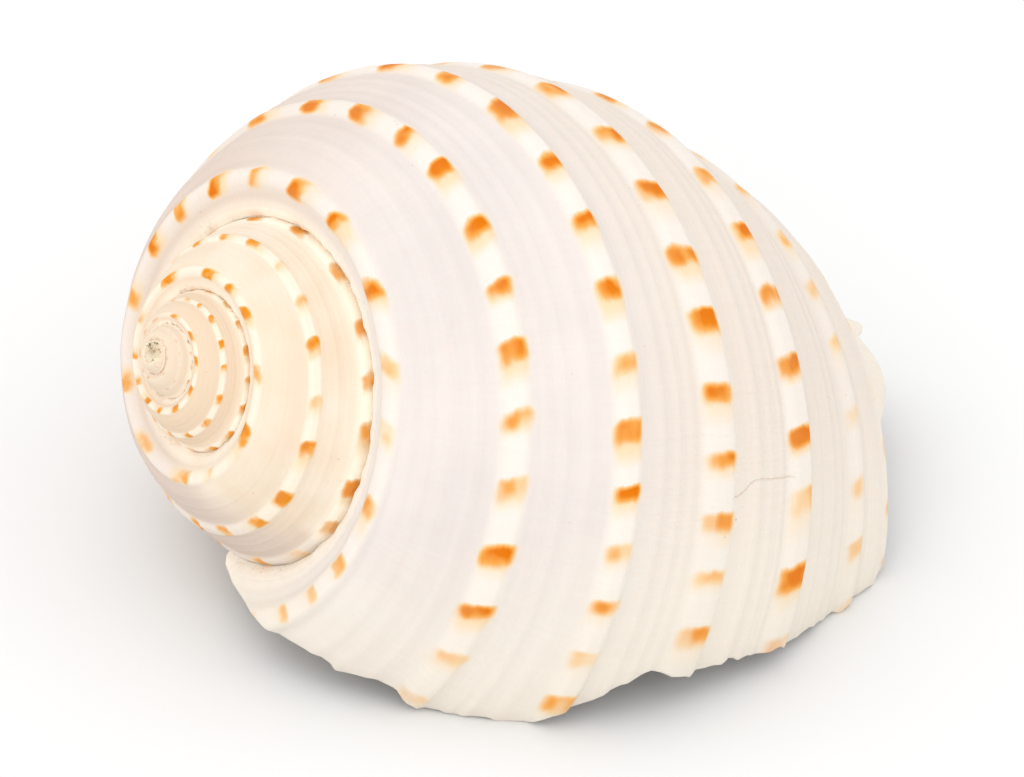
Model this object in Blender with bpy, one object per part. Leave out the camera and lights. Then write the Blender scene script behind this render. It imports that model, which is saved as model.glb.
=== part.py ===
"""A tun shell as one closed solid.

The shell is a coil that keeps its shape while it grows: each turn is the last one made larger by
the same factor. One profile line, from the seam with the turn before to the end of the short
canal, is swept round the axis for the outside. The hollow inside follows the same coil.
Metres, +Z up. The shell rests on its lip, with the axis lying near the floor along X.
"""

import math

import bmesh
import bpy
import numpy as np
from mathutils import Matrix, Vector

# Sizes of the coil. Lengths marked "in shell units" are multiples of UNIT.
UNIT = 0.032
GROWTH_PER_TURN = 2.147
STEPS_PER_TURN = 40
STEP = 2 * math.pi / STEPS_PER_TURN
SEAM_LIP_STEPS = 3
SPIRE_TURNS = 3.0
HOLLOW_TURNS = 1.2

# Walls and ribs, in shell units.
WALL = 0.028
RIB_HALF_WIDTH = 0.052
RIB_HEIGHT = 0.022
RIB_TOP_LEFT = -0.45
RIB_TOP_RIGHT = 0.75
NORMAL_REACH = 0.01
SMALLEST_LIP_RADIUS = 0.3

# The profile at angle 0: radius, depth below the tip, and the angle in degrees at which the lip
# ends the last turn there. The seam itself is the line beside the third rib, one turn earlier.
SEAM_PARTNER = (1.182, 1.122)
SHOULDER = ((0.602, 0.481, 19.0),)
RIBS = (
    (0.710, 0.458, 2.0),
    (1.000, 0.741, -19.4),
    (1.168, 1.069, -31.0),
    (1.197, 1.430, -43.4),
    (1.137, 1.836, -46.0),
    (0.974, 2.203, -48.0),
)
NECK = (
    (0.925, 2.340, -51.0),
    (0.810, 2.440, -58.0),
    (0.640, 2.560, -64.0),
    (0.500, 2.690, -74.0),
    (0.410, 2.830, -84.0),
    (0.355, 2.980, -108.0),
    (0.325, 3.140, -130.0),
    (0.310, 3.310, -146.0),
    (0.270, 3.420, -160.0),
    (0.190, 3.450, -170.0),
)
PILLAR_SAMPLES = 7
NAVEL_DEPTH = 2.25

# The shell lies on the hull face that points nearest this way, seen from the upright coil.
ROUGHLY_DOWN = (0.82, -0.47, -0.33)
SMALLEST_REST_FACE = 0.0002

SHELL_COLOUR = (0.80, 0.74, 0.66, 1.0)
SHELL_ROUGHNESS = 0.45


class Profile:
    """The line that is swept, measured by its length from the seam."""

    def __init__(self):
        seam = tuple(value / GROWTH_PER_TURN for value in SEAM_PARTNER)
        seam_lip = SEAM_LIP_STEPS * 360 / STEPS_PER_TURN
        keys = np.array([(*seam, seam_lip), *SHOULDER, *RIBS, *NECK])
        self.keys = keys
        self.at = np.concatenate([[0.0], np.cumsum(np.hypot(*np.diff(keys[:, :2], axis=0).T))])
        self.slopes = np.gradient(keys, self.at, axis=0)
        first_rib = 1 + len(SHOULDER)
        self.shoulder_at = self.at[:first_rib]
        self.rib_at = self.at[first_rib : first_rib + len(RIBS)]
        self.neck_at = self.at[first_rib + len(RIBS) :]
        self.length = self.at[-1]
        self.partner = self.rib_at[2] + RIB_HALF_WIDTH

    def value(self, distance):
        """Radius, depth and lip angle at a distance along the line."""
        i = int(np.clip(np.searchsorted(self.at, distance) - 1, 0, len(self.at) - 2))
        span = self.at[i + 1] - self.at[i]
        t = (distance - self.at[i]) / span
        blend = np.array([2 * t**3 - 3 * t**2 + 1, t**3 - 2 * t**2 + t, 3 * t**2 - 2 * t**3, t**3 - t**2])
        rows = np.array([self.keys[i], self.slopes[i] * span, self.keys[i + 1], self.slopes[i + 1] * span])
        return blend @ rows

    def outward(self, distance):
        """The direction out of the shell at a distance along the line, as radius and depth."""
        low = self.value(max(distance - NORMAL_REACH, 0.0))
        high = self.value(min(distance + NORMAL_REACH, self.length))
        along = (high - low)[:2]
        return np.array([along[1], -along[0]]) / np.hypot(*along)

    def relief(self, distance):
        """Height of the ribs at a distance along the line."""
        offset = (distance - self.rib_at) / RIB_HALF_WIDTH
        stops = (-1.0, RIB_TOP_LEFT, RIB_TOP_RIGHT, 1.0)
        return RIB_HEIGHT * float(np.max(np.interp(offset, stops, (0.0, 1.0, 1.0, 0.0))))

    def outside(self):
        """Distances of the outer grid's lines, and the place in them of the seam's partner."""
        edges = (-1.0, RIB_TOP_LEFT, RIB_TOP_RIGHT, 1.0)
        ribs = [rib + RIB_HALF_WIDTH * edge for rib in self.rib_at for edge in edges]
        lines = np.concatenate([self.shoulder_at, ribs, self.neck_at])
        return lines, int(np.argmin(np.abs(lines - self.partner)))


def place(angle, radius, depth):
    """A point of the coil. The angle is in radians, and grows as the shell grew."""
    size = UNIT * GROWTH_PER_TURN ** (angle / (2 * math.pi))
    return (
        size * radius * math.cos(angle),
        -size * radius * math.sin(angle),
        -size * depth,
    )


def shares(row):
    """How far along a row of vertices each one lies, from 0 to 1."""
    gaps = [(b.co - a.co).length for a, b in zip(row, row[1:])]
    return np.concatenate([[0.0], np.cumsum(gaps) / sum(gaps)])


def ladder(mesh, one, other):
    """Fill between two rows of vertices that run side by side, whatever their counts."""
    if len(one) == len(other):
        for corners in zip(one, one[1:], other[1:], other):
            mesh.faces.new(corners)
        return
    one_at, other_at = shares(one), shares(other)
    i = j = 0
    while i < len(one) - 1 or j < len(other) - 1:
        one_next = one_at[i] + one_at[i + 1] if i < len(one) - 1 else math.inf
        other_next = other_at[j] + other_at[j + 1] if j < len(other) - 1 else math.inf
        if one_next < other_next:
            corners = (one[i], one[i + 1], other[j])
            i += 1
        else:
            corners = (one[i], other[j + 1], other[j])
            j += 1
        different = list(dict.fromkeys(corners))
        if len(different) > 2:
            mesh.faces.new(different)


def fan(mesh, loop, centre):
    """Close a loop of vertices with triangles to one point."""
    tip = mesh.verts.new(centre)
    for a, b in zip(loop, loop[1:] + loop[:1]):
        mesh.faces.new((a, b, tip))


class Shell:
    """Builds the vertices and faces of the closed solid."""

    def __init__(self):
        self.mesh = bmesh.new()
        self.profile = Profile()
        self.lines, self.partner = self.profile.outside()
        self.start = (SEAM_LIP_STEPS - STEPS_PER_TURN) * STEP
        self.spire_steps = round(SPIRE_TURNS * STEPS_PER_TURN)
        self.hollow_steps = round(HOLLOW_TURNS * STEPS_PER_TURN)

    def point(self, angle, distance, inward=0.0, ribs=1.0):
        """A vertex on the swept line, moved off it along the line's own normal."""
        radius, depth, _ = self.profile.value(distance)
        out = self.profile.outward(distance)
        move = ribs * self.profile.relief(distance) - inward
        return self.mesh.verts.new(place(angle, radius + move * out[0], depth + move * out[1]))

    def angle(self, step, distance):
        """Angle of a grid column: slanted like the lip in the last turn, level before it."""
        if step <= 0:
            return self.start + step * STEP
        lip = math.radians(self.profile.value(distance)[2])
        return self.start + (lip - self.start) * step / STEPS_PER_TURN

    def outer_sheet(self):
        """The outside, spire first. Each turn's first line is the turn before's partner line."""
        columns = {}
        for step in range(-self.spire_steps, STEPS_PER_TURN + 1):
            count = len(self.lines) if step >= 0 else self.partner + 1
            before = columns.get(step - STEPS_PER_TURN)
            column = [before[self.partner] if before else self.point(self.angle(step, 0.0), 0.0, ribs=0.0)]
            column += [self.point(self.angle(step, line), line) for line in self.lines[1:count]]
            columns[step] = column
        for step in range(-self.spire_steps, STEPS_PER_TURN):
            here, following = columns[step], columns[step + 1]
            shared = min(len(here), len(following))
            ladder(self.mesh, here[:shared], following[:shared])
        first_turn = range(-self.spire_steps, STEPS_PER_TURN - self.spire_steps + 1)
        first = [columns[step][0] for step in first_turn]
        tip = self.mesh.verts.new((0.0, 0.0, first[0].co.z))
        for a, b in zip(first, first[1:]):
            self.mesh.faces.new((a, b, tip))
        self.mesh.faces.new([tip, *columns[-self.spire_steps]])
        return columns

    def rim(self, columns):
        """The lip's rounded edge, from the outside to the first ring of the hollow."""
        edge = columns[STEPS_PER_TURN]
        half = WALL / 2
        middle, inside = [], []
        for distance in self.lines:
            angle = self.angle(STEPS_PER_TURN, distance)
            radius = max(self.profile.value(distance)[0], SMALLEST_LIP_RADIUS)
            middle.append(self.point(angle + half / radius, distance, inward=half))
            inside.append(self.point(angle, distance, inward=WALL))
        ladder(self.mesh, edge, middle)
        ladder(self.mesh, middle, inside)
        return middle, inside

    def pillar(self, top, bottom, turns):
        """Points down the pillar between two vertices, winding round the axis on the way."""
        points = []
        low, high = np.array(top.co), np.array(bottom.co)
        low_radius, high_radius = np.hypot(*low[:2]), np.hypot(*high[:2])
        begin = math.atan2(-low[1], low[0])
        for share in np.linspace(0.0, 1.0, PILLAR_SAMPLES + 2)[1:-1]:
            radius = low_radius + (high_radius - low_radius) * share
            angle = begin + turns * share
            height = low[2] + (high[2] - low[2]) * share
            spot = (radius * math.cos(angle), -radius * math.sin(angle), height)
            points.append(self.mesh.verts.new(spot))
        return points

    def hollow(self, columns, inside):
        """The inside of the coil: rings from the lip back, then an end wall."""
        seam_side = columns[0][self.partner + 1 :]
        outer, inner = inside, seam_side[::-1]
        first_strip = [outer[-1], *self.pillar(outer[-1], inner[0], self.winding(0)), inner[0]]
        strip = first_strip
        inside_lines = self.profile.at
        seam_lines = [line for line in inside_lines[::-1] if line > self.profile.partner]
        for ring in range(1, self.hollow_steps + 1):
            step = STEPS_PER_TURN - ring
            behind = self.start - ring * STEP
            next_outer = [self.point(self.angle(step, line), line, WALL, ribs=0.0) for line in inside_lines]
            next_inner = [self.point(behind, line, ribs=0.0) for line in seam_lines]
            between = self.pillar(next_outer[-1], next_inner[0], self.winding(ring))
            next_strip = [next_outer[-1], *between, next_inner[0]]
            ladder(self.mesh, outer, next_outer)
            ladder(self.mesh, strip, next_strip)
            ladder(self.mesh, inner, next_inner)
            self.mesh.faces.new((inner[-1], outer[0], next_outer[0], next_inner[-1]))
            outer, inner, strip = next_outer, next_inner, next_strip
        ladder(self.mesh, outer, (strip[1:] + inner[1:])[::-1])
        return first_strip

    def winding(self, ring):
        """How far round the axis the pillar's line turns at one ring of the hollow."""
        step = STEPS_PER_TURN - ring
        return self.start + step * STEP - self.angle(step, self.profile.length)

    def build(self):
        """All faces of the solid, outward."""
        columns = self.outer_sheet()
        middle, inside = self.rim(columns)
        seam_corner = columns[0][self.partner + 1]
        self.mesh.faces.new((columns[STEPS_PER_TURN][0], middle[0], inside[0], seam_corner))
        strip = self.hollow(columns, inside)
        canal = [columns[step][-1] for step in range(STEPS_PER_TURN + 1)]
        loop = canal + [middle[-1]] + strip[:-1]
        tip = place(0.0, 0.0, NAVEL_DEPTH)
        fan(self.mesh, loop, tip)
        bmesh.ops.recalc_face_normals(self.mesh, faces=self.mesh.faces)
        return self.mesh


def lie_down(solid):
    """Turn the shell onto its resting face, axis along X, and put it on the floor at the origin."""
    hull = solid.copy()
    found = bmesh.ops.convex_hull(hull, input=hull.verts, use_existing_faces=False)["geom"]
    faces = [item for item in found if isinstance(item, bmesh.types.BMFace)]
    for face in faces:
        face.normal_update()
    wide = [face for face in faces if face.calc_area() > SMALLEST_REST_FACE]
    rest = max(wide, key=lambda face: face.normal.dot(Vector(ROUGHLY_DOWN)))
    up = -rest.normal
    canal = Vector((0.0, 0.0, -1.0))
    along = (canal - canal.dot(up) * up).normalized()
    turn = Matrix((along, up.cross(along), up))
    hull.free()
    for vertex in solid.verts:
        vertex.co = turn @ vertex.co
    corners = np.array([vertex.co for vertex in solid.verts])
    low, high = corners.min(axis=0), corners.max(axis=0)
    middle = (low + high) / 2
    for vertex in solid.verts:
        vertex.co -= Vector((middle[0], middle[1], low[2]))


def shell_material():
    """Plain pale shell."""
    material = bpy.data.materials.new("pale shell")
    material.use_nodes = True
    shader = material.node_tree.nodes["Principled BSDF"]
    shader.inputs["Base Color"].default_value = SHELL_COLOUR
    shader.inputs["Roughness"].default_value = SHELL_ROUGHNESS
    return material


def main():
    """Build the shell as one object."""
    for old in list(bpy.data.objects):
        bpy.data.objects.remove(old, do_unlink=True)
    solid = Shell().build()
    lie_down(solid)
    data = bpy.data.meshes.new("shell")
    solid.to_mesh(data)
    solid.free()
    data.materials.append(shell_material())
    shell = bpy.data.objects.new("shell", data)
    bpy.context.scene.collection.objects.link(shell)
    data.shade_smooth()


main()
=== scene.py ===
"""Dress a packed tun shell: its skin, marks, threads and dirt, on a pale studio floor.

The shell is an even coil, so every surface here is one profile line swept round the axis while it
grows. Patterns are laid out in the coil's own coordinates, which makes them shrink towards the tip
together with the turns, as they do on a real shell.
"""

from __future__ import annotations

import logging
import math
from dataclasses import dataclass, field
from enum import Enum

import bmesh
import bpy
import numpy as np
from mathutils import Euler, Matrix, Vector

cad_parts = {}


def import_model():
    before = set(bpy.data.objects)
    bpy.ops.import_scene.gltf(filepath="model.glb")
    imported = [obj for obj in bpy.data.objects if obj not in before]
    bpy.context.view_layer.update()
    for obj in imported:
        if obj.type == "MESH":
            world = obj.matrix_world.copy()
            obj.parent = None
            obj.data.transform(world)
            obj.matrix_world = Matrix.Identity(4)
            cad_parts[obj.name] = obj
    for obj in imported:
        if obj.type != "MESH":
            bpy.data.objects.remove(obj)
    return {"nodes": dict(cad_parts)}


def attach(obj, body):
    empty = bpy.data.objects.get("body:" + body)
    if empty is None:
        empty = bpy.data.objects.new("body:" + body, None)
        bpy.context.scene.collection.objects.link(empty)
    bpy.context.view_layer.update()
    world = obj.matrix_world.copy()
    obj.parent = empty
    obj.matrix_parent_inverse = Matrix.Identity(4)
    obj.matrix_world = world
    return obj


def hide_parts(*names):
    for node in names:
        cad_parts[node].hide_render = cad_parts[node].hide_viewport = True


LOG = logging.getLogger("tun_shell")
IMAGE_WIDTH = 1024
SENSOR_MM = 36.0
TURN = 360.0
MILLIMETRE = 0.001
CLOSE_ENOUGH = 1e-9
WELD_REACH = 2e-6
NUMBERS_PER_ROW = 200
LIGHTS_AIM = (0.0, 0.0, 0.02)
Array = np.ndarray
Socket = bpy.types.NodeSocket


class Layer(str, Enum):
    """Names of the UV maps that the materials read."""

    COIL = "coil"
    MARKS = "marks"
    LOOK = "look"
    ZONE = "zone"
    SIDE = "side"


class Piece(str, Enum):
    """Names of the objects made here."""

    SKIN = "shell_skin"
    GRAINS = "sand_grains"
    FLOOR = "studio_floor"


def linear(code: str) -> tuple[float, float, float, float]:
    """Turn a screen colour into the linear colour that shaders use.

    Args:
        code: Six hexadecimal digits, red first.

    Returns:
        Linear red, green and blue, with full opacity.
    """
    parts = [int(code[i : i + 2], 16) / 255 for i in (0, 2, 4)]
    values = [p / 12.92 if p <= 0.04045 else ((p + 0.055) / 1.055) ** 2.4 for p in parts]
    return (values[0], values[1], values[2], 1.0)


def smooth(low: float, high: float, value: Array) -> Array:
    """Ease from 0 to 1 between two values.

    Args:
        low: Where the result leaves 0.
        high: Where the result reaches 1.
        value: The values to ease.

    Returns:
        Numbers from 0 to 1.
    """
    t = np.clip((value - low) / (high - low), 0.0, 1.0)
    return t * t * (3 - 2 * t)


def funnel(loop: Array, centre: Array, rings: int) -> Array:
    """Draw a closed loop in to its centre.

    Args:
        loop: Points of the loop.
        centre: Where it closes.
        rings: How many rings of points there are.

    Returns:
        Points as rings, loop points and three coordinates.
    """
    return np.array([loop + (centre - loop) * share for share in np.linspace(0.0, 1.0, rings)])


@dataclass(frozen=True)
class Coil:
    """The growing coil: its profile line, where the lip ends, and how it lies on the floor.

    Each key is a radius and a depth below the tip, in shell units at angle 0, and the angle in
    degrees at which the lip ends the last turn.
    """

    unit: float = 0.032
    growth: float = 2.147
    seam_lip: float = 27.0
    partner: tuple[float, float] = (1.182, 1.122)
    shoulder: tuple[tuple[float, float, float], ...] = ((0.602, 0.481, 19.0),)
    ribs: tuple[tuple[float, float, float], ...] = (
        (0.710, 0.458, 2.0),
        (1.000, 0.741, -19.4),
        (1.168, 1.069, -31.0),
        (1.197, 1.430, -43.4),
        (1.137, 1.836, -46.0),
        (0.974, 2.203, -48.0),
    )
    neck: tuple[tuple[float, float, float], ...] = (
        (0.925, 2.340, -51.0),
        (0.810, 2.440, -58.0),
        (0.640, 2.560, -64.0),
        (0.500, 2.690, -74.0),
        (0.410, 2.830, -84.0),
        (0.355, 2.980, -108.0),
        (0.325, 3.140, -130.0),
        (0.310, 3.310, -146.0),
        (0.270, 3.420, -160.0),
        (0.190, 3.450, -170.0),
    )
    rib_half_width: float = 0.052
    rest_turn: tuple[float, float, float] = (54.454, 55.002, -120.340)
    tip_at: tuple[float, float, float] = (-0.03808, 0.00547, 0.02741)
    keys: Array = field(init=False, repr=False)
    at: Array = field(init=False, repr=False)
    slopes: Array = field(init=False, repr=False)

    def __post_init__(self) -> None:
        """Measure the profile line once."""
        seam = tuple(value / self.growth for value in self.partner)
        keys = np.array([(*seam, self.seam_lip), *self.shoulder, *self.ribs, *self.neck])
        at = np.concatenate([[0.0], np.cumsum(np.hypot(*np.diff(keys[:, :2], axis=0).T))])
        object.__setattr__(self, "keys", keys)
        object.__setattr__(self, "at", at)
        object.__setattr__(self, "slopes", np.gradient(keys, at, axis=0))

    @property
    def laid(self) -> Array:
        """Rotation that lays the upright shell down on the floor."""
        return np.array(Euler([math.radians(value) for value in self.rest_turn]).to_matrix())

    @property
    def length(self) -> float:
        """Length of the profile line, in shell units."""
        return float(self.at[-1])

    @property
    def rib_at(self) -> Array:
        """Distances of the ribs' middles along the profile line."""
        first = 1 + len(self.shoulder)
        return self.at[first : first + len(self.ribs)]

    @property
    def partner_at(self) -> float:
        """Distance of the line on which the next turn sits."""
        return float(self.rib_at[2] + self.rib_half_width)

    def value(self, distance: Array) -> Array:
        """Look up the profile line.

        Args:
            distance: Distances along the line from the seam.

        Returns:
            Rows of radius, depth and lip angle.
        """
        i = np.clip(np.searchsorted(self.at, distance) - 1, 0, len(self.at) - 2)
        span = (self.at[i + 1] - self.at[i])[:, None]
        t = ((distance - self.at[i])[:, None]) / span
        start, end = self.keys[i], self.keys[i + 1]
        leave, arrive = self.slopes[i] * span, self.slopes[i + 1] * span
        near = (2 * t**3 - 3 * t**2 + 1) * start + (t**3 - 2 * t**2 + t) * leave
        return near + (3 * t**2 - 2 * t**3) * end + (t**3 - t**2) * arrive

    def outward(self, distance: Array) -> Array:
        """Find the direction out of the shell along the profile line.

        Args:
            distance: Distances along the line from the seam.

        Returns:
            Rows of unit radius and depth.
        """
        reach = 0.01
        low = self.value(np.maximum(distance - reach, 0.0))
        high = self.value(np.minimum(distance + reach, self.length))
        along = (high - low)[:, :2]
        along /= np.linalg.norm(along, axis=1)[:, None]
        return np.stack([along[:, 1], -along[:, 0]], axis=1)

    def size(self, angle: Array) -> Array:
        """Give the coil's size at growth angles.

        Args:
            angle: Growth angles in degrees.

        Returns:
            Metres per shell unit.
        """
        return self.unit * self.growth ** (angle / TURN)

    def place(self, angle: Array, radius: Array, depth: Array) -> Array:
        """Put points of the coil where the shell lies.

        Args:
            angle: Growth angles in degrees.
            radius: Distances from the axis in shell units.
            depth: Distances below the tip in shell units.

        Returns:
            Points in metres in the row's frame, in a last axis of three.
        """
        size, turned = self.size(angle), np.radians(angle)
        upright = np.stack(
            [size * radius * np.cos(turned), -size * radius * np.sin(turned), -size * depth], axis=-1
        )
        return upright @ self.laid.T + np.array(self.tip_at)


@dataclass(frozen=True)
class Ridge:
    """One spiral rib or thread.

    Attributes:
        at: Distance of its middle along the profile line.
        half_width: Half its width, in shell units.
        height: Its height, in shell units.
    """

    at: float
    half_width: float
    height: float


@dataclass(frozen=True)
class Relief:
    """What stands out from the smooth coil: ribs, threads, the seam's edge, and uneven growth.

    Attributes:
        coil: The coil that carries it.
        rib_height: Height of the broad ribs, in shell units.
        shifts: How far each broad rib's middle lies from its key.
        half_widths: Half the width of each broad rib.
        small_ribs: The neck's ribs: distance past the last broad rib, half width and height.
        threads: The threads: distance along the profile line, half width and height.
        edge_height: Height of the thin edge along the seam.
        cover_fade: Degrees before the last turn over which the third rib gets its far side back.
        wave_height: Height of the uneven growth.
        waves: How many waves make it up.
        wave_gain: What their sum is multiplied by.
        wave_rates: Fewest and most of one wave's crests in a turn.
        wave_drifts: How much a wave slants along the profile line.
        seed: Picks the waves.
    """

    coil: Coil
    rib_height: float = 0.0205
    shifts: tuple[float, ...] = (0.0, 0.003, 0.0, -0.004, -0.028, -0.030)
    half_widths: tuple[float, ...] = (0.050, 0.053, 0.052, 0.072, 0.066, 0.046)
    small_ribs: tuple[tuple[float, float, float], ...] = (
        (0.215, 0.030, 0.009),
        (0.375, 0.026, 0.006),
        (0.520, 0.024, 0.005),
        (0.650, 0.022, 0.005),
    )
    threads: tuple[tuple[float, float, float], ...] = (
        (0.320, 0.022, 0.0035),
        (0.392, 0.020, 0.0045),
        (0.462, 0.022, 0.0040),
        (0.692, 0.018, 0.0035),
        (0.738, 0.018, 0.0050),
        (0.816, 0.022, 0.0045),
        (1.078, 0.020, 0.0065),
        (1.140, 0.016, 0.0030),
        (1.196, 0.020, 0.0035),
        (1.476, 0.026, 0.0085),
        (1.545, 0.018, 0.0035),
        (1.600, 0.016, 0.0030),
        (1.830, 0.018, 0.0030),
        (1.922, 0.022, 0.0060),
        (1.990, 0.016, 0.0030),
    )
    edge_height: float = 0.0065
    cover_fade: float = 24.0
    wave_height: float = 0.0024
    waves: int = 22
    wave_gain: float = 2.4
    wave_rates: tuple[float, float] = (3.0, 27.0)
    wave_drifts: tuple[float, float] = (0.2, 1.4)
    seed: int = 5

    @property
    def ribs(self) -> tuple[Ridge, ...]:
        """The broad marked ribs, then the small ones on the neck."""
        broad = zip(self.coil.rib_at, self.shifts, self.half_widths)
        found = [Ridge(float(at + shift), half, self.rib_height) for at, shift, half in broad]
        last = float(self.coil.rib_at[-1])
        return tuple(found + [Ridge(last + at, half, height) for at, half, height in self.small_ribs])

    def height(self, distance: Array) -> Array:
        """Height of the ribs at distances along the profile line.

        Args:
            distance: Distances along the line from the seam.

        Returns:
            Heights in shell units.
        """
        height = np.zeros_like(distance)
        for rib in self.ribs:
            x = (distance - rib.at) / rib.half_width
            height += rib.height * smooth(-1.15, -0.35, x) * (1 - self.far_side(x)) * self.crown(x)
        return height

    @staticmethod
    def crown(across: Array) -> Array:
        """Rounded top of a rib, at places across it from -1 to 1."""
        return np.clip(1.0 - 0.16 * (across - 0.15) ** 2, 0, 1)

    @staticmethod
    def far_side(across: Array) -> Array:
        """Where a rib ends on the canal's side, from 0 on the rib to 1 past it."""
        return smooth(0.55, 1.05, across)

    def thread_height(self, distance: Array) -> Array:
        """Height of the threads between the ribs.

        Args:
            distance: Distances along the line from the seam.

        Returns:
            Heights in shell units.
        """
        height = np.zeros_like(distance)
        for at, half_width, top in self.threads:
            height += top * (1 - smooth(0.1, 1.0, np.abs(distance - at) / half_width))
        return height

    def covered(self, angle: Array, distance: Array, start: float) -> Array:
        """Height that keeps the third rib full up to the seam, where the next turn laps over it.

        Args:
            angle: Growth angles in degrees.
            distance: Distances along the line from the seam.
            start: Growth angle at which the last turn begins.

        Returns:
            Heights in shell units.
        """
        rib = self.ribs[2]
        x = (distance - rib.at) / rib.half_width
        held = rib.height * self.crown(x) * self.far_side(x)
        shown = distance <= self.coil.partner_at + CLOSE_ENOUGH
        return held * shown * (1 - smooth(start - self.cover_fade, start - 1.0, angle))

    def seam_edge(self, angle: Array, distance: Array) -> Array:
        """Height of the thin uneven edge with which each turn laps over the one before.

        Args:
            angle: Growth angles in degrees.
            distance: Distances along the line from the seam.

        Returns:
            Heights in shell units.
        """
        turned = np.radians(angle)
        ragged = 1 + 0.30 * np.sin(13 * turned)
        ragged = ragged + 0.35 * np.sin(31 * turned + 1) + 0.35 * np.sin(53 * turned + 2)
        shape = smooth(0.0, 0.012, distance) * (1 - smooth(0.020, 0.130, distance))
        return self.edge_height * shape * np.clip(ragged, 0.2, 2.0)

    def growth(self, angle: Array, distance: Array) -> Array:
        """Height of the uneven growth, which runs along former lips.

        Args:
            angle: Growth angles in degrees.
            distance: Distances along the line from the seam.

        Returns:
            Heights in shell units.
        """
        rng = np.random.default_rng(self.seed)
        total = np.zeros(np.broadcast(angle, distance).shape)
        for _ in range(self.waves):
            rate = rng.uniform(*self.wave_rates)
            drift = rng.uniform(*self.wave_drifts) * math.sqrt(rate)
            phase = rng.uniform(0.0, 2 * math.pi)
            total = total + np.sin(rate * np.radians(angle) + drift * distance + phase) / math.sqrt(rate)
        return self.wave_height * total / math.sqrt(self.waves) * self.wave_gain


@dataclass(frozen=True)
class MarkRow:
    """The marks of one rib, counted back from the lip.

    Attributes:
        first: Growth angle of the mark nearest the lip, in degrees.
        seed: Picks where the marks lie.
        look_seed: Picks how strong and long they are.
        spread: Widens the gaps between marks.
        unevenness: How much the gaps vary.
        lean: How far a mark shifts back over half the rib's width, in degrees.
        power: Strength of the whole row.
        halved: How much paler the left half of some marks is.
        narrowing: How much narrower the row is at the lip.
        narrow_zone: Growth angles between which the row narrows, in degrees.
        count: How many marks there are.
        near_angle: A growth angle near the lip, in degrees.
        near_gap: Gap between marks there, in degrees.
        gap_rise: How many degrees wider the gap gets far back.
        gap_run: Over how many degrees it widens.
        past_gap: Degrees that count as one gap between the first mark and the lip.
        middle: Where a mark's middle lies, as a share of its gap.
        faintest: Strength of the faintest mark.
        lengths: Shortest and longest mark, as shares of their gaps.
    """

    first: float
    seed: int
    look_seed: int
    spread: float = 1.0
    unevenness: float = 0.22
    lean: float = -1.2
    power: float = 1.0
    halved: float = 0.0
    narrowing: float = 0.0
    narrow_zone: tuple[float, float] = (-90.0, -20.0)
    count: int = 110
    near_angle: float = -60.0
    near_gap: float = 11.0
    gap_rise: float = 12.0
    gap_run: float = 220.0
    past_gap: float = 12.0
    middle: float = 0.15
    faintest: float = 0.15
    lengths: tuple[float, float] = (0.27, 0.42)

    def places(self) -> Array:
        """Work out where the marks lie: closer together in angle near the lip.

        Returns:
            Growth angles of the marks' middles in degrees, rising.
        """
        rng = np.random.default_rng(self.seed)
        angles = [self.first]
        for _ in range(self.count - 1):
            widened = 1 - math.exp((angles[-1] - self.near_angle) / self.gap_run)
            gap = self.spread * (self.near_gap + self.gap_rise * widened)
            angles.append(angles[-1] - gap * (1 + self.unevenness * rng.uniform(-1, 1)))
        return np.array(angles[::-1])

    def numbers(self, angle: Array) -> Array:
        """Count the marks up to growth angles, with the part of the way to the next one.

        Args:
            angle: Growth angles in degrees.

        Returns:
            Mark numbers with fractions. A mark begins at a whole number.
        """
        places = self.places()
        past = (angle - places[-1]) / self.past_gap
        inside = np.interp(angle, places, np.arange(len(places), dtype=float))
        return np.where(angle > places[-1], len(places) - 1 + past, inside) + self.middle

    def looks(self, number: Array, across: Array) -> Array:
        """Give the strength and length of the mark at each place.

        Args:
            number: Mark numbers with fractions.
            across: Places across the rib, from -1 to 1.

        Returns:
            Pairs of a strength and a length, in a last axis of two.
        """
        drawn = np.sqrt(np.random.default_rng(self.look_seed).random(self.count))
        strengths = self.faintest + (1 - self.faintest) * drawn
        rng = np.random.default_rng(self.look_seed + 1)
        lengths, halves = rng.uniform(*self.lengths, self.count), rng.uniform(-0.6, 1.0, self.count)
        change_before_next = 0.15
        index = np.clip(np.floor(number + change_before_next).astype(int), 0, self.count - 1)
        index = self.count - 1 - index
        left = 1 - self.halved * np.clip(halves[index], 0, 1) * (across < 0.0)
        return np.stack([self.power * strengths[index] * left, lengths[index]], axis=-1)


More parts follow.
